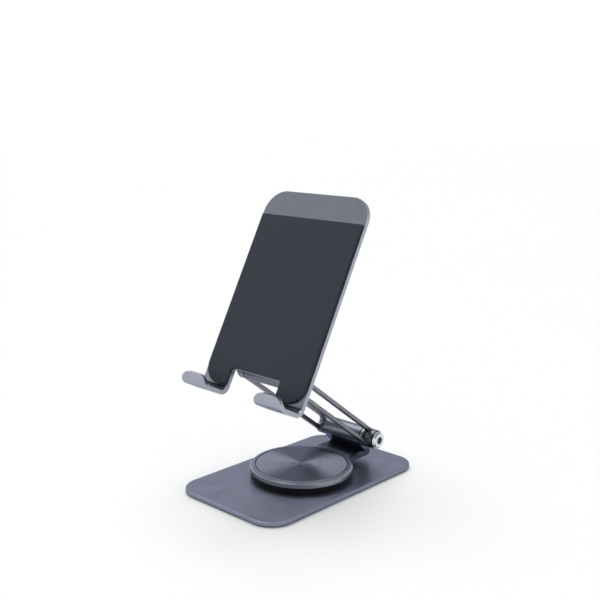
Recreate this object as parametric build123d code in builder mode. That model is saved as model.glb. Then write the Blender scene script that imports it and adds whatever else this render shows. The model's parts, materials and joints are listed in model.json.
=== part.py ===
from build123d import *
import os
from math import cos, radians, sin

# Folding desk stand for a phone: a flat base, a turntable with a hinge tongue, an arm of two
# slotted links, and a tilting back plate with two bottom hooks.
# +Z is up, the front (the hooks) faces -Y and both hinge axes run along X.
# The origin is on the turntable's axis at the underside of the base pad.

os.makedirs("parts", exist_ok=True)

# ---------------------------------------------------------------- driving dimensions (mm)
fit = 0.05  # radial clearance of every pin, screw and spigot

base_pad_thickness = 0.6
base_pad_inset = 2.0
base_width = 60.0
base_length = 98.5
base_corner = 11.0
base_thickness = 1.6

slip_ring_inner = 16.0
slip_ring_outer = 22.8
slip_ring_height = 2.5

turntable_radius = 23.4
turntable_thickness = 2.6
turntable_chamfer = 0.9
tongue_width = 22.0
tongue_fillet = 3.0
disc_radius = 20.9
disc_thickness = 0.8
disc_groove = 0.35
dish_outer = 14.8
dish_inner = 13.6
dish_drop = 1.5
dish_web = 1.2

post_radius = 4.0
post_thread_radius = 3.0
post_flange_radius = 8.0
post_flange_thickness = 0.8
thrust_washer_radius = 6.5
thrust_washer_thickness = 0.4
wave_washer_radius = 6.2
wave_washer_thickness = 0.5
pivot_nut_flats = 11.0
pivot_nut_thickness = 1.1

hinge_radius = 4.5
barrel_half_width = 11.0
lower_axis_y = 31.5
lower_axis_z = 14.8
arm_length = 65.3
arm_elevation = 36.55

friction_washer_thickness = 0.6
friction_washer_radius = 4.2
link_inner = 13.0
link_thickness = 2.6
link_height = 7.8
link_end_fillet = 3.0
slot_width = 4.2
slot_start = 2.9
slot_end = 62.4
edge_chamfer = 0.3

bolt_radius = 2.0
bolt_head_radius = 4.2
bolt_head_thickness = 1.7
bolt_head_chamfer = 1.0
bolt_socket_flats = 3.0
bolt_socket_depth = 1.2
cup_radius = 4.4
cup_bore_radius = 3.7
cup_floor = 0.8
cup_height = 2.8
spring_radius = 3.5
spring_thickness = 0.36
spring_cone = 0.12
spring_pitch = 0.5
spring_count = 4

plate_tilt = 28.0
plate_foot_y = -32.73  # the phone's bottom line, where it meets the plate's front face
plate_foot_z = 46.48
plate_half_width = 30.0
plate_top = 93.3
plate_thickness = 1.8
plate_corner = 10.5
notch_half_width = 14.5
notch_top = 9.5
notch_corner = 1.0
hook_root = 2.0
hook_bottom = -3.0
hook_depth = 12.3  # to the lip's outer face, where it would meet the underside
hook_lip_lean = 18.0
hook_lip_top = 2.0
hook_bend = 4.2
hook_lip_corner = 4.5

pad_inset = 0.8
notch_pad_inset = 0.2
back_pad_thickness = 1.3
back_pad_bottom = 1.4
back_pad_top = 81.3
back_pad_outer_corner = 9.0
back_pad_inner_corner = 3.0
hook_pad_foot = 1.35
hook_pad_thickness = 1.3
hook_pad_lip = 0.8
hook_pad_bend = 2.5
hook_pad_crease = 1.2
hook_pad_top = 1.0

block_half_width = 10.0
block_foot_thickness = 2.6
block_foot_top = 33.0
screw_radius = 1.45
screw_head_radius = 2.75
screw_length = 4.2
screw_row = 25.0
screw_pitch_x = 12.0
screw_pitch_s = 8.0
screw_socket_flats = 2.0

# ---------------------------------------------------------------- derived levels and places
plate_bottom_z = base_pad_thickness
base_top_z = plate_bottom_z + base_thickness
turntable_bottom_z = base_top_z + slip_ring_height
turntable_top_z = turntable_bottom_z + turntable_thickness
ledge_z = turntable_top_z - disc_thickness
dish_bottom_z = turntable_bottom_z - dish_drop
web_top_z = dish_bottom_z + dish_web
wave_washer_z = web_top_z + thrust_washer_thickness
nut_z = wave_washer_z + wave_washer_thickness
nut_top_z = nut_z + pivot_nut_thickness
flange_top_z = plate_bottom_z + post_flange_thickness
tongue_end_y = lower_axis_y + hinge_radius
neck_reach = hinge_radius * cos(radians(45))

arm_y = -cos(radians(arm_elevation))
arm_z = sin(radians(arm_elevation))
upper_axis_y = lower_axis_y + arm_length * arm_y
upper_axis_z = lower_axis_z + arm_length * arm_z
hinge_axes = {"lower": (lower_axis_y, lower_axis_z), "upper": (upper_axis_y, upper_axis_z)}
boss_inner = barrel_half_width + friction_washer_thickness
link_outer = link_inner + link_thickness
cup_mouth = link_outer + cup_height
head_base = cup_mouth + 0.1

up_y = sin(radians(plate_tilt))
up_z = cos(radians(plate_tilt))
hinge_s = (upper_axis_y - plate_foot_y) * up_y + (upper_axis_z - plate_foot_z) * up_z
hinge_d = (plate_foot_y - upper_axis_y) * up_z + (upper_axis_z - plate_foot_z) * up_y

lip_rise = sin(radians(hook_lip_lean))
lip_run = cos(radians(hook_lip_lean))
hook_width = plate_half_width - notch_half_width
hook_middle = (plate_half_width + notch_half_width) / 2
trough_floor = hook_bottom + plate_thickness

# The plate's front face: local x is X, local y runs up the plate, local z is the way it faces.
face_plane = Plane(
    origin=(0, plate_foot_y, plate_foot_z), x_dir=(1, 0, 0), z_dir=(0, -up_z, up_y)
)
# The outer face of the hooks' lips, with local y = 0 along their top edge.
lip_plane = face_plane * Location(
    (0, hook_lip_top, hook_depth + (hook_lip_top - hook_bottom) * lip_rise / lip_run),
    (hook_lip_lean, 0, 0),
)


def across(x, y, z):
    """A plane facing +X at x, with its centre on the hinge axis through (y, z)."""
    return Plane(origin=(x, y, z), x_dir=(0, 1, 0), z_dir=(1, 0, 0))


def arm_section(x):
    """A plane facing +X at x, local x running from the lower hinge to the upper one."""
    return Plane(
        origin=(x, lower_axis_y, lower_axis_z), x_dir=(0, arm_y, arm_z), z_dir=(1, 0, 0)
    )


def holder_section(x):
    """A plane facing +X at x, local x up the back plate and local y out of its front."""
    return Plane(
        origin=(x, plate_foot_y, plate_foot_z), x_dir=(0, up_y, up_z), z_dir=(1, 0, 0)
    )


def lip_point(s, inset):
    """The point at height s up the plate that lies inset behind the lip's leaning outer face."""
    return (s, hook_depth + ((s - hook_bottom) * lip_rise - inset) / lip_run)


def save(builder, node):
    builder.part.label = node
    export_step(builder.part, f"parts/{node}.step")


# ---------------------------------------------------------------- base
with BuildPart() as base_pad:
    with BuildSketch():
        RectangleRounded(
            base_width - 2 * base_pad_inset,
            base_length - 2 * base_pad_inset,
            base_corner - base_pad_inset,
        )
    extrude(amount=base_pad_thickness)
save(base_pad, "base_pad")

with BuildPart() as base_plate:
    with BuildSketch(Plane.XY.offset(plate_bottom_z)):
        RectangleRounded(base_width, base_length, base_corner)
    extrude(amount=base_thickness)
    fillet(base_plate.faces().sort_by(Axis.Z)[-1].edges(), 0.5)
    chamfer(base_plate.faces().sort_by(Axis.Z)[0].edges(), 0.2)
    with BuildSketch(Plane.XY.offset(plate_bottom_z)):
        Circle(post_radius + fit)
    extrude(amount=base_thickness, mode=Mode.SUBTRACT)
    with BuildSketch(Plane.XY.offset(plate_bottom_z)):
        Circle(post_flange_radius + fit)
    extrude(amount=post_flange_thickness, mode=Mode.SUBTRACT)
save(base_plate, "base_plate")

with BuildPart() as slip_ring:
    with BuildSketch(Plane.XY.offset(base_top_z)):
        Circle(slip_ring_outer)
        Circle(slip_ring_inner, mode=Mode.SUBTRACT)
    extrude(amount=slip_ring_height)
save(slip_ring, "slip_ring")

# ---------------------------------------------------------------- turntable pivot
with BuildPart() as pivot_post:
    with BuildSketch(Plane.XY.offset(plate_bottom_z)):
        Circle(post_flange_radius)
    extrude(amount=post_flange_thickness)
    with BuildSketch(Plane.XY.offset(flange_top_z)):
        Circle(post_radius)
    extrude(amount=nut_z - flange_top_z)
    with BuildSketch(Plane.XY.offset(nut_z)):
        Circle(post_thread_radius)
    extrude(amount=pivot_nut_thickness)
    chamfer(pivot_post.faces().sort_by(Axis.Z)[-1].edges(), 0.3)
save(pivot_post, "pivot_post")

with BuildPart() as pivot_thrust_washer:
    with BuildSketch(Plane.XY.offset(web_top_z)):
        Circle(thrust_washer_radius)
        Circle(post_radius + fit, mode=Mode.SUBTRACT)
    extrude(amount=thrust_washer_thickness)
save(pivot_thrust_washer, "pivot_thrust_washer")

with BuildPart() as pivot_wave_washer:
    with BuildSketch(Plane.XY.offset(wave_washer_z)):
        Circle(wave_washer_radius)
        Circle(post_radius + 2 * fit, mode=Mode.SUBTRACT)
    extrude(amount=wave_washer_thickness)
save(pivot_wave_washer, "pivot_wave_washer")

with BuildPart() as pivot_nut:
    with BuildSketch(Plane.XY.offset(nut_z)):
        RegularPolygon(pivot_nut_flats / 2, 6, major_radius=False)
        Circle(post_thread_radius + fit, mode=Mode.SUBTRACT)
    extrude(amount=pivot_nut_thickness)
save(pivot_nut, "pivot_nut")

# ---------------------------------------------------------------- turntable
with BuildPart() as turntable_plate:
    with BuildSketch(Plane.XY.offset(turntable_bottom_z)) as turntable_outline:
        Circle(turntable_radius)
        with Locations((0, tongue_end_y / 2)):
            Rectangle(tongue_width, tongue_end_y)
        roots = turntable_outline.vertices().filter_by(
            lambda v: abs(v.Y) > 1 and v.Y < tongue_end_y - 1
        )
        fillet(roots, tongue_fillet)
    extrude(amount=turntable_thickness)
    chamfer(turntable_plate.faces().sort_by(Axis.Z)[-1].edges(), turntable_chamfer)
    # Neck and hinge barrel at the tongue's end.
    with BuildSketch(Plane.YZ.offset(-barrel_half_width)):
        with Locations((lower_axis_y, lower_axis_z)):
            Circle(hinge_radius)
        with BuildLine():
            Polyline(
                (lower_axis_y - neck_reach, lower_axis_z - neck_reach),
                (lower_axis_y + 1.2, turntable_top_z - 0.2),
                (lower_axis_y + 1.2, turntable_bottom_z),
                (tongue_end_y, turntable_bottom_z),
                (tongue_end_y, lower_axis_z),
                (lower_axis_y, lower_axis_z),
                close=True,
            )
        make_face()
    extrude(amount=2 * barrel_half_width)
    rear_edge = turntable_plate.edges().filter_by(Axis.X).group_by(Axis.Z)[0].sort_by(Axis.Y)[-1]
    fillet(rear_edge, 2.0)
    # Dish for the pivot stack under the disc.
    with BuildSketch(Plane.XY.offset(dish_bottom_z)):
        Circle(dish_outer)
    extrude(amount=ledge_z - dish_bottom_z)
    with BuildSketch(Plane.XY.offset(web_top_z)):
        Circle(dish_inner)
    extrude(amount=turntable_top_z - web_top_z, mode=Mode.SUBTRACT)
    with BuildSketch(Plane.XY.offset(ledge_z)):
        Circle(disc_radius + disc_groove)
    extrude(amount=disc_thickness, mode=Mode.SUBTRACT)
    with BuildSketch(Plane.XY.offset(dish_bottom_z)):
        Circle(post_radius + fit)
    extrude(amount=dish_web, mode=Mode.SUBTRACT)
    with BuildSketch(across(-barrel_half_width, lower_axis_y, lower_axis_z)):
        Circle(bolt_radius + fit)
    extrude(amount=2 * barrel_half_width, mode=Mode.SUBTRACT)
save(turntable_plate, "turntable_plate")

with BuildPart() as turntable_disc:
    with BuildSketch(Plane.XY.offset(ledge_z)):
        Circle(disc_radius)
    extrude(amount=disc_thickness)
    chamfer(turntable_disc.faces().sort_by(Axis.Z)[-1].edges(), 0.2)
save(turntable_disc, "turntable_disc")


# ---------------------------------------------------------------- arm
def link_profile():
    """A bar with a round eye at each hinge and one long slot."""
    with BuildSketch(mode=Mode.PRIVATE) as profile:
        with Locations((arm_length / 2, 0)):
            Rectangle(arm_length, link_height)
        with Locations((0, 0), (arm_length, 0)):
            Circle(hinge_radius)
        necks = profile.vertices().filter_by(lambda v: abs(abs(v.Y) - link_height / 2) < 0.01)
        fillet(necks, link_end_fillet)
        with Locations(((slot_start + slot_end) / 2, 0)):
            SlotOverall(slot_end - slot_start, slot_width, mode=Mode.SUBTRACT)
    return profile.sketch


eyes = [(0, 0), (arm_length, 0)]

with BuildPart() as left_link:
    with BuildSketch(arm_section(-link_outer)):
        add(link_profile())
    extrude(amount=link_thickness)
    chamfer(left_link.faces().sort_by(Axis.X)[0].edges(), edge_chamfer)
    with BuildSketch(arm_section(-link_inner)):
        with Locations(*eyes):
            Circle(hinge_radius)
    extrude(amount=link_inner - boss_inner)
    with BuildSketch(arm_section(-link_outer + 0.4)):
        with Locations(*eyes):
            Circle(bolt_radius + fit)
    extrude(amount=link_outer - boss_inner - 0.4, mode=Mode.SUBTRACT)
save(left_link, "left_link")

with BuildPart() as right_link:
    with BuildSketch(arm_section(link_inner)):
        add(link_profile())
    extrude(amount=link_thickness)
    chamfer(right_link.faces().sort_by(Axis.X)[-1].edges(), edge_chamfer)
    with BuildSketch(arm_section(boss_inner)):
        with Locations(*eyes):
            Circle(hinge_radius)
    extrude(amount=link_inner - boss_inner)
    with BuildSketch(arm_section(boss_inner)):
        with Locations(*eyes):
            Circle(bolt_radius + fit)
    extrude(amount=link_outer - boss_inner, mode=Mode.SUBTRACT)
save(right_link, "right_link")

# ---------------------------------------------------------------- hinge hardware
for hinge, (axis_y, axis_z) in hinge_axes.items():
    with BuildPart() as hinge_bolt:
        with BuildSketch(across(-link_outer + 0.5, axis_y, axis_z)):
            Circle(bolt_radius)
        extrude(amount=head_base + link_outer - 0.5)
        with BuildSketch(across(head_base, axis_y, axis_z)):
            Circle(bolt_head_radius)
        extrude(amount=bolt_head_thickness)
        head_face = hinge_bolt.faces().sort_by(Axis.X)[-1]
        chamfer(head_face.edges(), bolt_head_chamfer)
        with BuildSketch(across(head_base + bolt_head_thickness, axis_y, axis_z)):
            RegularPolygon(bolt_socket_flats / 2, 6, major_radius=False)
        extrude(amount=-bolt_socket_depth, mode=Mode.SUBTRACT)
    save(hinge_bolt, f"{hinge}_hinge_bolt")

    with BuildPart() as spring_cup:
        with BuildSketch(across(link_outer, axis_y, axis_z)):
            Circle(cup_radius)
        extrude(amount=cup_height)
        with BuildSketch(across(link_outer + cup_floor, axis_y, axis_z)):
            Circle(cup_bore_radius)
        extrude(amount=cup_height - cup_floor, mode=Mode.SUBTRACT)
        with BuildSketch(across(link_outer, axis_y, axis_z)):
            Circle(bolt_radius + fit)
        extrude(amount=cup_floor, mode=Mode.SUBTRACT)
    save(spring_cup, f"{hinge}_spring_cup")

    with BuildPart() as disc_springs:
        for n in range(spring_count):
            rise = spring_cone if n % 2 else -spring_cone
            start = link_outer + cup_floor + 0.01 + n * spring_pitch + max(0, -rise)
            with BuildSketch(Plane(origin=(0, axis_y, axis_z), x_dir=(1, 0, 0), z_dir=(0, 0, 1))):
                with BuildLine():
                    Polyline(
                        (start, bolt_radius + 0.15),
                        (start + spring_thickness, bolt_radius + 0.15),
                        (start + spring_thickness + rise, spring_radius),
                        (start + rise, spring_radius),
                        close=True,
                    )
                make_face()
            revolve(axis=Axis((0, axis_y, axis_z), (1, 0, 0)))
    save(disc_springs, f"{hinge}_disc_springs")

    with BuildPart() as friction_washers:
        for x in (-boss_inner, barrel_half_width):
            with BuildSketch(across(x, axis_y, axis_z)):
                Circle(friction_washer_radius)
                Circle(bolt_radius + fit, mode=Mode.SUBTRACT)
            extrude(amount=friction_washer_thickness)
    save(friction_washers, f"{hinge}_friction_washers")

# ---------------------------------------------------------------- holder
with BuildPart() as holder_plate:
    with BuildSketch(face_plane) as plate_outline:
        with Locations((0, (plate_top + hook_root) / 2)):
            Rectangle(2 * plate_half_width, plate_top - hook_root)
        fillet(plate_outline.vertices().group_by(Axis.Y)[-1], plate_corner)
        with Locations((0, notch_top / 2)):
            Rectangle(2 * notch_half_width, notch_top, mode=Mode.SUBTRACT)
        notch_top_corners = plate_outline.vertices().filter_by(
            lambda v: abs(v.Y - notch_top) < 0.01
        )
        fillet(notch_top_corners, notch_corner)
    extrude(amount=-plate_thickness)
    for hook_start in (-plate_half_width, notch_half_width):
        with BuildSketch(holder_section(hook_start)):
            with BuildLine():
                outer_tip = lip_point(hook_lip_top, 0)
                inner_tip = lip_point(hook_lip_top + plate_thickness * lip_rise, plate_thickness)
                FilletPolyline(
                    (hook_root, -plate_thickness),
                    (hook_bottom, -plate_thickness),
                    lip_point(hook_bottom, 0),
                    outer_tip,
                    radius=hook_bend,
                )
                Line(outer_tip, inner_tip)
                FilletPolyline(
                    inner_tip,
                    lip_point(trough_floor, plate_thickness),
                    (trough_floor, 0),
                    (hook_root, 0),
                    radius=hook_bend - plate_thickness,
                )
                Line((hook_root, 0), (hook_root, -plate_thickness))
            make_face()
        extrude(amount=hook_width)
    with BuildSketch(lip_plane):
        with Locations((-hook_middle, 0), (hook_middle, 0)):
            Rectangle(hook_width, 2 * hook_lip_corner)
        with Locations((-hook_middle, -2 * hook_lip_corner), (hook_middle, -2 * hook_lip_corner)):
            RectangleRounded(hook_width, 4 * hook_lip_corner, hook_lip_corner, mode=Mode.SUBTRACT)
    extrude(amount=-2 * plate_thickness, mode=Mode.SUBTRACT)
    with Locations(face_plane * Location((0, screw_row, 0))):
        with GridLocations(screw_pitch_x, screw_pitch_s, 2, 2):
            CounterSinkHole(screw_radius + fit, screw_head_radius + fit, plate_thickness)
save(holder_plate, "holder_plate")

with BuildPart() as holder_hinge_block:
    with BuildSketch(holder_section(-barrel_half_width)):
        with Locations((hinge_s, hinge_d)):
            Circle(hinge_radius)
    extrude(amount=2 * barrel_half_width)
    with BuildSketch(holder_section(-block_half_width)):
        with BuildLine():
            Polyline(
                (hinge_s, hinge_d),
                (hinge_s, -plate_thickness),
                (block_foot_top, -plate_thickness),
                (block_foot_top, -plate_thickness - block_foot_thickness),
                (hinge_s + hinge_radius + 1.5, -plate_thickness - block_foot_thickness),
                (hinge_s + hinge_radius, hinge_d),
                close=True,
            )
        make_face()
    extrude(amount=2 * block_half_width)
    with BuildSketch(across(-barrel_half_width, upper_axis_y, upper_axis_z)):
        Circle(bolt_radius + fit)
    extrude(amount=2 * barrel_half_width, mode=Mode.SUBTRACT)
    with BuildSketch(face_plane.offset(-plate_thickness)):
        with Locations((0, screw_row)):
            with GridLocations(screw_pitch_x, screw_pitch_s, 2, 2):
                Circle(screw_radius + fit)
    extrude(amount=-block_foot_thickness, mode=Mode.SUBTRACT)
save(holder_hinge_block, "holder_hinge_block")

with BuildPart() as holder_screws:
    with BuildSketch(face_plane):
        with Locations((0, screw_row)):
            with GridLocations(screw_pitch_x, screw_pitch_s, 2, 2):
                Circle(screw_radius)
    extrude(amount=-screw_length)
    with BuildSketch(face_plane):
        with Locations((0, screw_row)):
            with GridLocations(screw_pitch_x, screw_pitch_s, 2, 2):
                Circle(screw_head_radius)
    extrude(amount=screw_radius - screw_head_radius, taper=45)
    with BuildSketch(face_plane):
        with Locations((0, screw_row)):
            with GridLocations(screw_pitch_x, screw_pitch_s, 2, 2):
                RegularPolygon(screw_socket_flats / 2, 6, major_radius=False)
    extrude(amount=-1.0, mode=Mode.SUBTRACT)
save(holder_screws, "holder_screws")

# ---------------------------------------------------------------- silicone pads on the holder
with BuildPart() as back_pad:
    with BuildSketch(face_plane) as back_pad_outline:
        with Locations((0, (back_pad_top + back_pad_bottom) / 2)):
            Rectangle(2 * (plate_half_width - pad_inset), back_pad_top - back_pad_bottom)
        fillet(back_pad_outline.vertices().group_by(Axis.Y)[0], back_pad_outer_corner)
        with Locations((0, (notch_top + notch_pad_inset) / 2)):
            Rectangle(
                2 * (notch_half_width + notch_pad_inset),
                notch_top + notch_pad_inset,
                mode=Mode.SUBTRACT,
            )
        inner_corners = back_pad_outline.vertices().filter_by(
            lambda v: abs(abs(v.X) - notch_half_width - notch_pad_inset) < 0.01
        )
        fillet(inner_corners.group_by(Axis.Y)[0], back_pad_inner_corner)
        fillet(inner_corners.group_by(Axis.Y)[-1], notch_corner)
    extrude(amount=back_pad_thickness)
save(back_pad, "back_pad")

hook_pad_width = hook_width - 2 * pad_inset
hook_pad_corner = hook_lip_corner - pad_inset
hook_pad_back = plate_thickness + hook_pad_lip
for node, hook_side in (("left_hook_pad", -1), ("right_hook_pad", 1)):
    pad_middle = hook_side * hook_middle
    with BuildPart() as hook_pad:
        with BuildSketch(holder_section(pad_middle - hook_pad_width / 2)):
            with BuildLine():
                outer_end = lip_point(hook_pad_top, plate_thickness)
                inner_end = lip_point(hook_pad_top + hook_pad_lip * lip_rise, hook_pad_back)
                FilletPolyline(
                    (hook_pad_foot, 0),
                    (trough_floor, 0),
                    lip_point(trough_floor, plate_thickness),
                    outer_end,
                    radius=hook_pad_bend,
                )
                Line(outer_end, inner_end)
                FilletPolyline(
                    inner_end,
                    lip_point(trough_floor + hook_pad_thickness, hook_pad_back),
                    (trough_floor + hook_pad_thickness, back_pad_thickness),
                    (hook_pad_foot, back_pad_thickness),
                    radius=hook_pad_crease,
                )
                Line((hook_pad_foot, back_pad_thickness), (hook_pad_foot, 0))
            make_face()
        extrude(amount=hook_pad_width)
        with BuildSketch(lip_plane):
            with Locations((pad_middle, -plate_thickness)):
                Rectangle(hook_pad_width, 2 * hook_pad_corner)
            with Locations((pad_middle, -plate_thickness - 2 * hook_pad_corner)):
                RectangleRounded(
                    hook_pad_width, 4 * hook_pad_corner, hook_pad_corner, mode=Mode.SUBTRACT
                )
        extrude(amount=-hook_pad_back - 0.2, mode=Mode.SUBTRACT)
    save(hook_pad, node)
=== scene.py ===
import json
from math import cos, radians, sin, sqrt, tan

import bmesh
import bpy
from mathutils import Matrix, Vector


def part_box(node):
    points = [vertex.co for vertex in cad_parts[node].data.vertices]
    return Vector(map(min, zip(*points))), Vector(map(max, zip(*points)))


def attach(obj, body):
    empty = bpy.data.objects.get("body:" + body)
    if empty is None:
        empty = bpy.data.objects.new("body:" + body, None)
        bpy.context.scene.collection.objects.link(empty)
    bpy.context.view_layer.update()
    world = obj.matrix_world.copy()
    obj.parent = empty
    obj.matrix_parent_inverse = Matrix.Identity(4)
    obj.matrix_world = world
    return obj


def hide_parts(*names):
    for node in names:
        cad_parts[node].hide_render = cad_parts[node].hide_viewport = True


# The looks of a folding desk stand for a phone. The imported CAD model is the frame: its metal
# parts stay and get finishes, and its soft pads are rebuilt here with rounded edges.
# Everything is in metres: +Z is up, the front faces -Y and the hinges' axes run along X.

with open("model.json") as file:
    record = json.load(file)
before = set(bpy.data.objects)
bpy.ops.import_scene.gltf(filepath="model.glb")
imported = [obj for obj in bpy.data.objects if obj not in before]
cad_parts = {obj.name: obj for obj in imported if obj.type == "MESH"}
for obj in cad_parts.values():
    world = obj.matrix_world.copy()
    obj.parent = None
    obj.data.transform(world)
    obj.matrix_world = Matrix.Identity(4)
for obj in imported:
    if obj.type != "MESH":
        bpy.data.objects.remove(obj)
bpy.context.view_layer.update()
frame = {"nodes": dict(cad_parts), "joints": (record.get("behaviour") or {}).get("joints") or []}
cad = frame["nodes"]
joints = {joint["name"]: joint for joint in frame["joints"]}

MM = 0.001
TINY = 1e-9  # shorter than any real step along a path

UPWARD = (0, 0, 1)
SIDEWAYS = (1, 0, 0)
SWIVEL = (0, 0, 0)  # a point on the turntable's axis
RIM_START = 22.8 * MM  # from this radius outwards the turntable's rim gets a painted highlight
HEAD_CHAMFER = 19.2 * MM  # how far out a bolt head's straight side ends and its chamfer begins

# Colours, linear.
LAVENDER = (0.25, 0.268, 0.35)
HOLDER = (0.38, 0.395, 0.46)
DISC = (0.195, 0.207, 0.262)
GREY = (0.228, 0.235, 0.257)
# SLATE is also the painted shade on the turntable's neck, beyond its rim.
SLATE = (0.165, 0.173, 0.212)
# A lighter colour painted on the turntable's rim as a highlight.
PAINTED_RIM_HIGHLIGHT = (0.42, 0.43, 0.48)
POLISHED_STEEL = (0.72, 0.73, 0.76)
PLATED_STEEL = (0.55, 0.55, 0.57)
# The darker colour of a bolt head's straight side.
HEAD_SIDE_DARK = (0.02, 0.02, 0.026)
ACETAL = (0.005, 0.005, 0.006)
SILICONE = (0.027, 0.032, 0.046)
FLOOR = (0.9, 0.9, 0.905)


# ------------------------------------------------------------------ node helpers
class Shader:
    """A material under construction: short calls for the nodes that the finishes share."""

    def __init__(self, name, color, metallic, roughness):
        self.material = bpy.data.materials.new(name)
        self.material.use_nodes = True
        self.tree = self.material.node_tree
        self.tree.nodes.clear()
        self.out = self.add("ShaderNodeOutputMaterial")
        self.bsdf = self.add("ShaderNodeBsdfPrincipled")
        self.bsdf.inputs["Base Color"].default_value = (*color, 1)
        self.bsdf.inputs["Metallic"].default_value = metallic
        self.bsdf.inputs["Roughness"].default_value = roughness
        self.link(self.bsdf.outputs["BSDF"], self.out.inputs["Surface"])
        self.place = self.add("ShaderNodeTexCoord").outputs["Object"]
        self.normal = None

    def add(self, kind, **settings):
        node = self.tree.nodes.new(kind)
        for key, value in settings.items():
            setattr(node, key, value)
        return node

    def link(self, source, target):
        self.tree.links.new(source, target)

    def feed(self, sockets, values):
        """Links the values that are outputs to their sockets, and sets the others."""
        for socket, value in zip(sockets, values):
            if isinstance(value, bpy.types.NodeSocket):
                self.link(value, socket)
            else:
                socket.default_value = value

    def math(self, operation, a, b):
        node = self.add("ShaderNodeMath", operation=operation)
        self.feed(node.inputs, (a, b))
        return node.outputs[0]

    def vector(self, operation, *values, output="Vector"):
        node = self.add("ShaderNodeVectorMath", operation=operation)
        self.feed(node.inputs, values)
        return node.outputs[output]

    def noise(self, size, detail, place=None, roughness=0.5):
        """Noise whose features are about size metres across, from 0 to 1."""
        node = self.add("ShaderNodeTexNoise")
        node.inputs["Scale"].default_value = 1 / size
        node.inputs["Detail"].default_value = detail
        node.inputs["Roughness"].default_value = roughness
        self.link(place or self.place, node.inputs["Vector"])
        return node.outputs["Fac"]

    def radius(self, axis, centre):
        """How far the surface is from an axis through centre."""
        flat = Vector([0.0 if component else 1.0 for component in axis])
        from_centre = self.vector("SUBTRACT", self.place, Vector(centre))
        arm = self.vector("MULTIPLY", from_centre, flat)
        return self.vector("LENGTH", arm, output="Value")

    def turned(self, axis, centre, size):
        """Noise in fine rings round an axis through centre, as a lathe leaves on an end face."""
        along = self.vector("DOT_PRODUCT", self.place, Vector(axis), output="Value")
        combine = self.add("ShaderNodeCombineXYZ")
        self.link(self.radius(axis, centre), combine.inputs["X"])
        self.link(along, combine.inputs["Y"])
        return self.noise(size, detail=3.0, place=combine.outputs[0])

    def ramp(self, value, low, high, start=0.0, end=1.0):
        """value, from start to end, spread over low to high."""
        node = self.add("ShaderNodeMapRange")
        self.link(value, node.inputs["Value"])
        limits = {"From Min": start, "From Max": end, "To Min": low, "To Max": high}
        for key, number in limits.items():
            node.inputs[key].default_value = number
        return node.outputs["Result"]

    def spread(self, noise, low, high):
        """The middle of a noise's range, where nearly all of it lies, spread over low to high."""
        return self.ramp(noise, low, high, start=0.3, end=0.7)

    def mix(self, fac, a, b):
        """Mixes two colours, each a tuple or an output."""
        node = self.add("ShaderNodeMix", data_type="RGBA")
        self.link(fac, node.inputs["Factor"])
        colours = [(*value, 1) if isinstance(value, tuple) else value for value in (a, b)]
        self.feed(node.inputs[6:8], colours)
        return node.outputs[2]

    def shades(self, fac, color, dark, light):
        """From dark times a colour, where fac is 0, to light times it, where fac is 1."""
        return self.mix(fac, tint(color, dark), tint(color, light))

    def coat(self, color, roughness):
        """Gives the surface its colour and its roughness, both outputs."""
        self.link(color, self.bsdf.inputs["Base Color"])
        self.link(roughness, self.bsdf.inputs["Roughness"])

    def bump(self, height, depth, strength):
        """Adds a relief on top of those that are there already."""
        node = self.add("ShaderNodeBump")
        node.inputs["Strength"].default_value = strength
        node.inputs["Distance"].default_value = depth
        self.link(height, node.inputs["Height"])
        if self.normal:
            self.link(self.normal, node.inputs["Normal"])
        self.normal = node.outputs["Normal"]
        self.link(self.normal, self.bsdf.inputs["Normal"])

    def edges(self, radius):
        """1 on convex and concave edges of about that radius, 0 on flats."""
        bevel = self.add("ShaderNodeBevel", samples=6)
        bevel.inputs["Radius"].default_value = radius
        geometry = self.add("ShaderNodeNewGeometry")
        normals = (bevel.outputs["Normal"], geometry.outputs["Normal"])
        likeness = self.vector("DOT_PRODUCT", *normals, output="Value")
        return self.ramp(likeness, 1.0, 0.0, start=0.86, end=0.99)


def tint(color, factor):
    """A colour made that much lighter or darker."""
    return tuple(min(1.0, channel * factor) for channel in color)


# ------------------------------------------------------------------ finishes
def anodised(name, color, edge=1.25, rim=None):
    """Bead-blasted and anodised aluminium: a fine grain, faint clouds, and lighter edges that are
    partly wear, partly painted highlight.

    edge is how much lighter the edges are, partly as painted highlight, and rim the radius where a
    painted highlight on the rim starts.
    """
    look = Shader(name, color, metallic=1.0, roughness=0.32)
    look.bsdf.inputs["Specular Tint"].default_value = (0.6, 0.6, 0.648, 1)
    grain = look.noise(0.22 * MM, detail=3.0)
    clouds = look.noise(14 * MM, detail=3.0)
    smudges = look.noise(5 * MM, detail=5.0, roughness=0.65)
    body = look.shades(clouds, color, 0.96, 1.04)
    pits = look.shades(clouds, color, 0.88, 0.98)
    speckled = look.mix(look.ramp(grain, 0, 1, start=0.35, end=0.65), pits, body)
    # Lighter edges: partly worn anodising, partly a painted highlight.
    worn_and_highlit_edges = look.math("MULTIPLY", look.edges(0.35 * MM), look.spread(smudges, 0.25, 0.8))
    surface = look.mix(worn_and_highlit_edges, speckled, tint(color, edge))
    if rim:
        surface = paint_rim_highlight_and_neck_shade(look, surface, clouds, rim)
    rough = look.math("ADD", look.spread(smudges, 0.28, 0.37), look.ramp(grain, -0.03, 0.03))
    look.coat(surface, rough)
    look.bump(grain, 0.005 * MM, 0.6)
    return look.material


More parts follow.
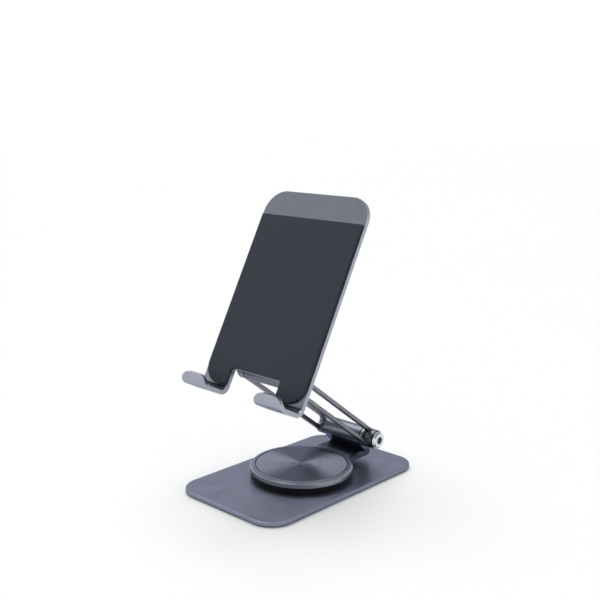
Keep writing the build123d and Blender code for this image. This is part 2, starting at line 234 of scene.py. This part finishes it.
def paint_rim_highlight_and_neck_shade(look, surface, clouds, rim):
    """A painted highlight in a band round the swivel from the radius rim outwards, and painted
    shade on the neck beyond.
    """
    band_end = rim + 1.5 * MM
    neck_shade_full = rim + 5 * MM
    reach = look.radius(UPWARD, SWIVEL)
    highlight_begun = look.ramp(reach, 0, 1, rim, rim + 0.1 * MM)
    highlight_unended = look.ramp(reach, 1, 0, rim + 1.0 * MM, band_end)
    # Painted highlight: the rim's band is lighter, as if it caught the light.
    rim_highlight = look.mix(look.math("MULTIPLY", highlight_begun, highlight_unended), surface, PAINTED_RIM_HIGHLIGHT)
    # Painted shade: the neck beyond the rim turns a darker slate.
    neck_shade = look.ramp(reach, 0, 1, band_end, neck_shade_full)
    return look.mix(neck_shade, rim_highlight, look.shades(clouds, SLATE, 0.95, 1.05))


def spun(name, color):
    """A face turned on a lathe: fine rings round the swivel, which stretch the highlights."""
    look = Shader(name, color, metallic=1.0, roughness=0.3)
    look.bsdf.inputs["Specular Tint"].default_value = (0.5, 0.5, 0.54, 1)
    rings = look.turned(UPWARD, SWIVEL, 0.16 * MM)
    bands = look.turned(UPWARD, SWIVEL, 1.3 * MM)
    clouds = look.noise(9 * MM, detail=3.0)
    fine = look.shades(look.spread(rings, 0, 1), color, 0.88, 1.1)
    broad = look.shades(look.spread(bands, 0, 1), color, 0.95, 1.05)
    look.coat(look.mix(clouds, fine, broad), look.spread(rings, 0.27, 0.35))
    look.bsdf.inputs["Anisotropic"].default_value = 0.95
    tangent = look.add("ShaderNodeTangent", direction_type="RADIAL", axis="Z")
    look.link(tangent.outputs["Tangent"], look.bsdf.inputs["Tangent"])
    look.bump(rings, 0.004 * MM, 0.4)
    return look.material


def turned_steel(name, color, centre):
    """Polished steel turned round a hinge axis: painted shade in the hex socket, and the head's
    straight side darker.
    """
    look = Shader(name, color, metallic=1.0, roughness=0.2)
    rings = look.turned(SIDEWAYS, centre, 0.12 * MM)
    stains = look.noise(1.6 * MM, detail=4.0)
    steel = look.shades(stains, color, 0.86, 1.06)
    split = look.add("ShaderNodeSeparateXYZ")
    look.link(look.place, split.inputs[0])
    side = look.ramp(split.outputs["X"], 1, 0, HEAD_CHAMFER - 0.15 * MM, HEAD_CHAMFER)
    reach = look.radius(SIDEWAYS, centre)
    # Painted shade: the hex socket's hole is darkened.
    socket = look.ramp(reach, 1, 0, 1.75 * MM, 1.85 * MM)
    with_socket_shade = look.mix(socket, steel, tint(color, 0.42))
    # The head's straight side, outside the shank, is darker.
    darker_side_mask = look.math("MULTIPLY", side, look.ramp(reach, 0, 1, 2.4 * MM, 2.8 * MM))
    look.coat(look.mix(darker_side_mask, with_socket_shade, HEAD_SIDE_DARK), look.spread(rings, 0.15, 0.28))
    look.bump(rings, 0.006 * MM, 0.6)
    return look.material


def plain_steel(name, color):
    """Tumbled zinc-plated steel for the fasteners that are seldom seen."""
    look = Shader(name, color, metallic=1.0, roughness=0.3)
    grain = look.noise(0.3 * MM, detail=4.0)
    clouds = look.noise(3 * MM, detail=3.0)
    look.coat(look.shades(clouds, color, 0.82, 1.08), look.spread(grain, 0.24, 0.4))
    look.bump(grain, 0.01 * MM, 0.5)
    return look.material


def acetal(name, color):
    """Black bearing plastic: smooth, slightly waxy, with fine scuffs."""
    look = Shader(name, color, metallic=0.0, roughness=0.42)
    look.bsdf.inputs["Specular IOR Level"].default_value = 0.2
    scuffs = look.noise(0.5 * MM, detail=5.0, roughness=0.7)
    clouds = look.noise(6 * MM, detail=2.0)
    look.coat(look.shades(clouds, color, 0.8, 1.5), look.spread(scuffs, 0.34, 0.56))
    look.bump(scuffs, 0.01 * MM, 0.4)
    return look.material


def silicone(name, color):
    """Matte silicone rubber: a fine moulded grain, soft sheen and faint handling marks."""
    look = Shader(name, color, metallic=0.0, roughness=0.62)
    grain = look.noise(0.28 * MM, detail=3.0)
    peel = look.noise(1.1 * MM, detail=2.0)
    marks = look.noise(11 * MM, detail=5.0, roughness=0.62)
    mottled = look.shades(marks, color, 0.92, 1.08)
    speckles = look.ramp(grain, 0, 1, start=0.35, end=0.65)
    speckled = look.mix(speckles, tint(color, 0.86), mottled)
    look.coat(speckled, look.spread(marks, 0.58, 0.66))
    look.bsdf.inputs["Specular IOR Level"].default_value = 0.3
    look.bsdf.inputs["Sheen Weight"].default_value = 0.06
    look.bsdf.inputs["Sheen Roughness"].default_value = 0.5
    look.bump(peel, 0.012 * MM, 0.5)
    look.bump(grain, 0.012 * MM, 0.7)
    return look.material


body_metal = anodised("anodised_body", LAVENDER)
turntable_metal = anodised("anodised_turntable", LAVENDER, rim=RIM_START)
# edge=2.6 paints bright highlights along the holder's sheet edges.
holder_metal = anodised("anodised_holder", HOLDER, edge=2.6)
link_metal = anodised("anodised_links", GREY, edge=1.4)
hinge_metal = anodised("anodised_hinge", SLATE, edge=1.4)
disc_metal = spun("spun_disc", DISC)
fastener = plain_steel("plated_steel", PLATED_STEEL)
bearing = acetal("black_acetal", ACETAL)
rubber = silicone("silicone", SILICONE)

finishes = {
    "base_plate": body_metal,
    "turntable_plate": turntable_metal,
    "turntable_disc": disc_metal,
    "left_link": link_metal,
    "right_link": link_metal,
    "holder_plate": holder_metal,
    "holder_hinge_block": hinge_metal,
    "holder_screws": fastener,
    "slip_ring": bearing,
    "pivot_post": fastener,
    "pivot_nut": fastener,
    "pivot_wave_washer": fastener,
    "pivot_thrust_washer": bearing,
}
for end in ("lower", "upper"):
    centre = joints[end + "_hinge"]["pos_m"]
    bolt_steel = turned_steel(end + "_polished_steel", POLISHED_STEEL, centre)
    finishes[end + "_hinge_bolt"] = bolt_steel
    finishes[end + "_spring_cup"] = hinge_metal
    finishes[end + "_disc_springs"] = fastener
    finishes[end + "_friction_washers"] = bearing

for node, material in finishes.items():
    for material_slot in cad[node].material_slots:
        material_slot.material = material


# ------------------------------------------------------------------ rebuilt pads
PAD_EDGE = 0.35 * MM  # the rounding of a moulded silicone edge
RIM_ROWS = (0.0, 0.04 * MM, 0.12 * MM, 0.22 * MM, PAD_EDGE)  # distances in from a pad's rim
FLAT_COLUMNS = 16

# The holder leans back. A place in it is a height up the plate from its foot, and a depth out
# of its front face.
PLATE_LEAN = radians(28.0)
PLATE_FOOT = Vector((0, -32.73, 46.48)) * MM
FACE_UP = Vector((0, sin(PLATE_LEAN), cos(PLATE_LEAN)))
FACE_OUT = Vector((0, -cos(PLATE_LEAN), sin(PLATE_LEAN)))

# The hooks' sheet: its thickness, the height of the trough's floor, the lip's lean, and the
# height and depth where the outer faces of the floor and the lip would meet.
SHEET = 1.8 * MM
TROUGH_FLOOR = -1.2 * MM
LIP_LEAN = radians(18.0)
LIP_CORNER = Vector((-3.0, 12.3)) * MM


def local_extent(node, direction):
    """Lowest and highest reach of a CAD node along a direction through the origin."""
    reaches = [vertex.co.dot(direction) for vertex in cad[node].data.vertices]
    return min(reaches), max(reaches)


def arc(centre, radius, start, end, steps=8):
    """Points on an arc from start to end, in degrees."""
    angles = [radians(start + (end - start) * i / steps) for i in range(steps + 1)]
    return [(centre[0] + radius * cos(a), centre[1] + radius * sin(a)) for a in angles]


def extruded(outline, thickness):
    """A closed block of an outline's shape: its bmesh, its top's vertices and its top's faces."""
    bm = bmesh.new()
    bottom = bm.faces.new([bm.verts.new((x, y, 0)) for x, y in outline])
    raised = bmesh.ops.extrude_face_region(bm, geom=[bottom])["geom"]
    top = [item for item in raised if isinstance(item, bmesh.types.BMVert)]
    crown = [item for item in raised if isinstance(item, bmesh.types.BMFace)]
    bmesh.ops.translate(bm, verts=top, vec=(0, 0, thickness))
    return bm, top, crown


def round_rim(bm, top, radius, segments):
    """Rounds the edges between the top's vertices."""
    rim = [edge for edge in bm.edges if all(vertex in top for vertex in edge.verts)]
    bmesh.ops.bevel(bm, geom=rim, offset=radius, segments=segments, profile=0.5, affect="EDGES")


def finish_mesh(name, bm, to_world):
    """Turns a bmesh into an object with smooth rims, flat faces kept flat."""
    bmesh.ops.remove_doubles(bm, verts=bm.verts, dist=1e-6)
    flats = [face for face in bm.faces if len(face.verts) > 4]
    bmesh.ops.inset_individual(bm, faces=flats, thickness=0.15 * MM, use_even_offset=True)
    bmesh.ops.triangulate(bm, faces=[face for face in bm.faces if len(face.verts) > 4])
    bmesh.ops.recalc_face_normals(bm, faces=bm.faces)
    mesh = bpy.data.meshes.new(name)
    bm.to_mesh(mesh)
    bm.free()
    mesh.transform(to_world)
    mesh.shade_smooth()
    mesh.set_sharp_from_angle(angle=radians(50))
    piece = bpy.data.objects.new(name, mesh)
    bpy.context.scene.collection.objects.link(piece)
    mesh.materials.append(rubber)
    return piece


def declare_pad(piece, node, body):
    """A rebuilt pad stands for its CAD node, and moves with the same body."""
    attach(piece, body)
    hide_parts(node)


def face_matrix(reach):
    """Local x is X, y is FACE_UP and z is FACE_OUT, from that reach along FACE_OUT."""
    matrix = Matrix.Identity(4)
    matrix.col[0][:3] = SIDEWAYS
    matrix.col[1][:3] = FACE_UP
    matrix.col[2][:3] = FACE_OUT
    matrix.translation = FACE_OUT * reach
    return matrix


def build_back_pad():
    """The long pad on the plate's face: square at the top, round lobes beside the cable notch."""
    _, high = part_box("back_pad")
    half_width = high.x
    bottom, top = local_extent("back_pad", FACE_UP)
    back, front = local_extent("back_pad", FACE_OUT)
    notch_half_width = 14.7 * MM
    notch_top = bottom + 8.3 * MM
    outer = 9 * MM
    inner = 3 * MM
    corner = 1 * MM
    right = [(half_width, top)]
    right += arc((half_width - outer, bottom + outer), outer, 0, -90, 14)
    right += arc((notch_half_width + inner, bottom + inner), inner, -90, -180)
    right += arc((notch_half_width - corner, notch_top - corner), corner, 0, 90, 4)
    left = [(-x, y) for x, y in reversed(right)]
    bm, top_vertices, _ = extruded(right + left, front - back)
    bmesh.ops.recalc_face_normals(bm, faces=bm.faces)
    round_rim(bm, top_vertices, PAD_EDGE, 4)
    return finish_mesh("back_pad_silicone", bm, face_matrix(back))


def rounded_path(points, radius, steps=10):
    """A polyline in (height, depth) with its inner corners rounded, in short steps."""
    path = [Vector(points[0])]
    for before, corner, after in zip(points, points[1:], points[2:]):
        corner = Vector(corner)
        back = (Vector(before) - corner).normalized()
        ahead = (Vector(after) - corner).normalized()
        half_angle = back.angle(ahead) / 2
        centre = corner + (back + ahead).normalized() * radius / sin(half_angle)
        start = corner + back * radius / tan(half_angle) - centre
        end = corner + ahead * radius / tan(half_angle) - centre
        turn = start.angle_signed(end)
        for i in range(steps + 1):
            spoke = start.copy()
            spoke.rotate(Matrix.Rotation(-turn * i / steps, 2))
            path.append(centre + spoke)
    path.append(Vector(points[-1]))
    return path


def walk(path, step):
    """Evenly spaced stations on a path, each (point, direction, length so far), and its length."""
    stations = []
    gone = 0.0
    for a, b in zip(path, path[1:]):
        span = (b - a).length
        if span < TINY:
            continue
        count = max(1, round(span / step))
        along = (b - a) / span
        for i in range(count):
            stations.append((a + along * span * i / count, along, gone + span * i / count))
        gone += span
    stations.append((path[-1], along, gone))
    return stations, gone


def locate(stations, gone):
    """The point at that length along a path, and the path's left-hand normal there."""
    index = max(i for i, station in enumerate(stations) if station[2] <= gone + TINY)
    point, along, start = stations[index]
    following = stations[min(index + 1, len(stations) - 1)][1]
    direction = (along + following).normalized()
    return point + along * (gone - start), Vector((-direction.y, direction.x))


def rounding(distance, radius):
    """How far a quarter-round edge falls away at a distance in from its rim."""
    short = radius - min(distance, radius)
    return radius - sqrt(max(0.0, radius**2 - short**2))


def places_across(half_width):
    """Places from rim to rim of a strip, closer together on its rounded rims."""
    flat = half_width - PAD_EDGE
    places = [rim - half_width for rim in RIM_ROWS]
    places += [flat * (2 * i / FLAT_COLUMNS - 1) for i in range(1, FLAT_COLUMNS)]
    places += [half_width - rim for rim in reversed(RIM_ROWS)]
    return places


def bridge(bm, row, after):
    """Fills the gap between two rows of vertices."""
    for i in range(len(row) - 1):
        bm.faces.new((row[i], row[i + 1], after[i + 1], after[i]))


def holder_point(x, height, depth):
    """A place in the holder: height up the plate from its foot, depth out of its front face."""
    return Vector((x, 0, 0)) + PLATE_FOOT + FACE_UP * height + FACE_OUT * depth


def lining(name, path, thickness, middle_x, half_width, foot_corner, tip_corner):
    """A soft strip that lies along a bent path, with rounded corners and rims."""
    stations, length = walk(path, 0.3 * MM)
    lengths = [station[2] for station in stations]
    for rim in RIM_ROWS[1:]:
        lengths += [rim, length - rim]
    bm = bmesh.new()
    upper, lower = [], []
    for gone in sorted({min(round(gone, 7), length) for gone in lengths}):
        point, inward = locate(stations, gone)
        inset = max(rounding(gone, foot_corner), rounding(length - gone, tip_corner))
        wide = half_width - inset
        full = thickness(gone / length)
        tops, bottoms = [], []
        for x in places_across(wide):
            drop = rounding(min(wide - abs(x), gone, length - gone), PAD_EDGE)
            tops.append(holder_point(middle_x + x, *(point + inward * (full - drop))))
            bottoms.append(holder_point(middle_x + x, *point))
        upper.append([bm.verts.new(place) for place in tops])
        lower.append([bm.verts.new(place) for place in bottoms])
    for sheet in (upper, lower):
        for row, after in zip(sheet, sheet[1:]):
            bridge(bm, row, after)
    for end in (0, -1):
        bridge(bm, [row[end] for row in upper], [row[end] for row in lower])
        bridge(bm, upper[end], lower[end])
    bmesh.ops.recalc_face_normals(bm, faces=bm.faces)
    return finish_mesh(name, bm, Matrix.Identity(4))


def build_hook_pad(side):
    """The lining of a hook's trough: down from the back pad, along the floor and up the lip."""
    node = side + "_hook_pad"
    low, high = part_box(node)
    foot = 1.35 * MM
    tip = 1.0 * MM
    bend = 2.5 * MM
    full = 1.29 * MM
    thinner = 0.5 * MM

    def lip(height):
        """The lip's inner face at that height."""
        lean = (height - LIP_CORNER.x) * tan(LIP_LEAN)
        return (height, LIP_CORNER.y + lean - SHEET / cos(LIP_LEAN))

    def thickness(way):
        """Full on the foot and the floor, then smoothly thinner onto the lip."""
        slope = min(1.0, max(0.0, (way - 0.55) / 0.2))
        return full - thinner * slope * slope * (3 - 2 * slope)

    corners = [(foot, 0.0), (TROUGH_FLOOR, 0.0), lip(TROUGH_FLOOR), lip(tip)]
    return lining(
        node + "_silicone",
        rounded_path(corners, bend),
        thickness,
        middle_x=(low.x + high.x) / 2,
        half_width=(high.x - low.x) / 2 - 0.01 * MM,
        foot_corner=0.5 * MM,
        tip_corner=3.7 * MM,
    )


def build_base_pad():
    """The thin non-slip sheet under the base, with a shallow groove inside its rim."""
    _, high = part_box("base_pad")
    corner = 9 * MM
    across = high.x - corner
    along = high.y - corner
    outline = []
    for quarter, (x, y) in enumerate(((1, 1), (-1, 1), (-1, -1), (1, -1))):
        start = 90 * quarter
        outline += arc((x * across, y * along), corner, start, start + 90, 12)
    bm, top, crown = extruded(outline, high.z)
    # How far in and how far down each step goes, in mm: the rim, the flat beside it, and the
    # groove's outer wall, floor and inner wall.
    steps = ((0.12, 0.0), (2.6, 0.0), (0.12, 0.14), (0.7, 0.0), (0.12, -0.14))
    for inset, sink in steps:
        bmesh.ops.inset_region(bm, faces=crown, thickness=inset * MM, use_even_offset=True)
        bmesh.ops.translate(bm, verts=crown[0].verts, vec=(0, 0, -sink * MM))
    round_rim(bm, top, 0.1 * MM, 2)
    turned_over = Matrix.Translation((0, 0, high.z)) @ Matrix.Rotation(radians(180), 4, "X")
    return finish_mesh("base_pad_silicone", bm, turned_over)


declare_pad(build_back_pad(), "back_pad", "holder")
for side in ("left", "right"):
    declare_pad(build_hook_pad(side), side + "_hook_pad", "holder")
declare_pad(build_base_pad(), "base_pad", "base")


# ------------------------------------------------------------------ floor, light and camera
def stage_floor():
    """A pale floor, just below the base's underside."""
    look = Shader("studio_floor", FLOOR, metallic=0.0, roughness=0.55)
    clouds = look.noise(0.35, detail=3.0)
    look.link(look.shades(clouds, FLOOR, 0.99, 1.01), look.bsdf.inputs["Base Color"])
    look.bsdf.inputs["Specular IOR Level"].default_value = 0.2
    bm = bmesh.new()
    bmesh.ops.create_circle(bm, cap_ends=True, segments=96, radius=4.0)
    mesh = bpy.data.meshes.new("floor")
    bm.to_mesh(mesh)
    bm.free()
    mesh.materials.append(look.material)
    floor = bpy.data.objects.new("floor", mesh)
    floor.location.z = -0.02 * MM
    bpy.context.scene.collection.objects.link(floor)


def soft_sun(name, towards, strength, spread):
    """A broad far light: an even pool without falloff, and soft shadows."""
    light = bpy.data.lights.new(name, "SUN")
    light.energy = strength
    light.angle = radians(spread)
    lamp = bpy.data.objects.new(name, light)
    lamp.rotation_euler = (-Vector(towards)).to_track_quat("-Z", "Y").to_euler()
    bpy.context.scene.collection.objects.link(lamp)


def studio_world(strength):
    """A pale surround that is bright near the horizon and darker overhead."""
    world = bpy.data.worlds.new("studio")
    world.use_nodes = True
    tree = world.node_tree
    background = tree.nodes["Background"]
    coordinates = tree.nodes.new("ShaderNodeTexCoord")
    split = tree.nodes.new("ShaderNodeSeparateXYZ")
    ramp = tree.nodes.new("ShaderNodeValToRGB")
    tree.links.new(coordinates.outputs["Generated"], split.inputs[0])
    tree.links.new(split.outputs["Z"], ramp.inputs["Fac"])
    tree.links.new(ramp.outputs["Color"], background.inputs["Color"])
    stops = ((0.0, 1.0), (0.12, 1.0), (0.22, 0.74), (0.42, 0.42), (0.7, 0.3), (1.0, 0.35))
    for _ in range(len(stops) - 2):
        ramp.color_ramp.elements.new(0.5)
    for element, (height, level) in zip(ramp.color_ramp.elements, stops):
        element.position = height
        element.color = (level * 0.97, level * 0.985, level, 1)
    background.inputs["Strength"].default_value = strength
    bpy.context.scene.world = world


def place_camera(azimuth, pitch, roll, place, focal, frame_size):
    """A camera at place, turned by azimuth from +Y towards -X, then down and rolled."""
    out = Vector((-sin(azimuth) * cos(pitch), cos(azimuth) * cos(pitch), -sin(pitch)))
    side = Vector((cos(azimuth), sin(azimuth), 0))
    up = side.cross(out)
    data = bpy.data.cameras.new("camera")
    data.lens = focal / frame_size * data.sensor_width
    data.clip_start = 0.01
    matrix = Matrix.Identity(4)
    matrix.col[0][:3] = side * cos(roll) + up * sin(roll)
    matrix.col[1][:3] = up * cos(roll) - side * sin(roll)
    matrix.col[2][:3] = -out
    matrix.translation = place
    camera = bpy.data.objects.new("camera", data)
    camera.matrix_world = matrix
    bpy.context.scene.collection.objects.link(camera)
    bpy.context.scene.camera = camera


stage_floor()
studio_world(strength=1.2)
soft_sun("overhead", towards=(-0.3, 0.2, 1.0), strength=2.2, spread=65)
place_camera(
    azimuth=radians(42.917),
    pitch=radians(11.778),
    roll=radians(0.379),
    place=Vector((0.2723, -0.2945, 0.1668)),
    focal=932.72,
    frame_size=600,
)
bpy.context.scene.view_settings.view_transform = "Standard"
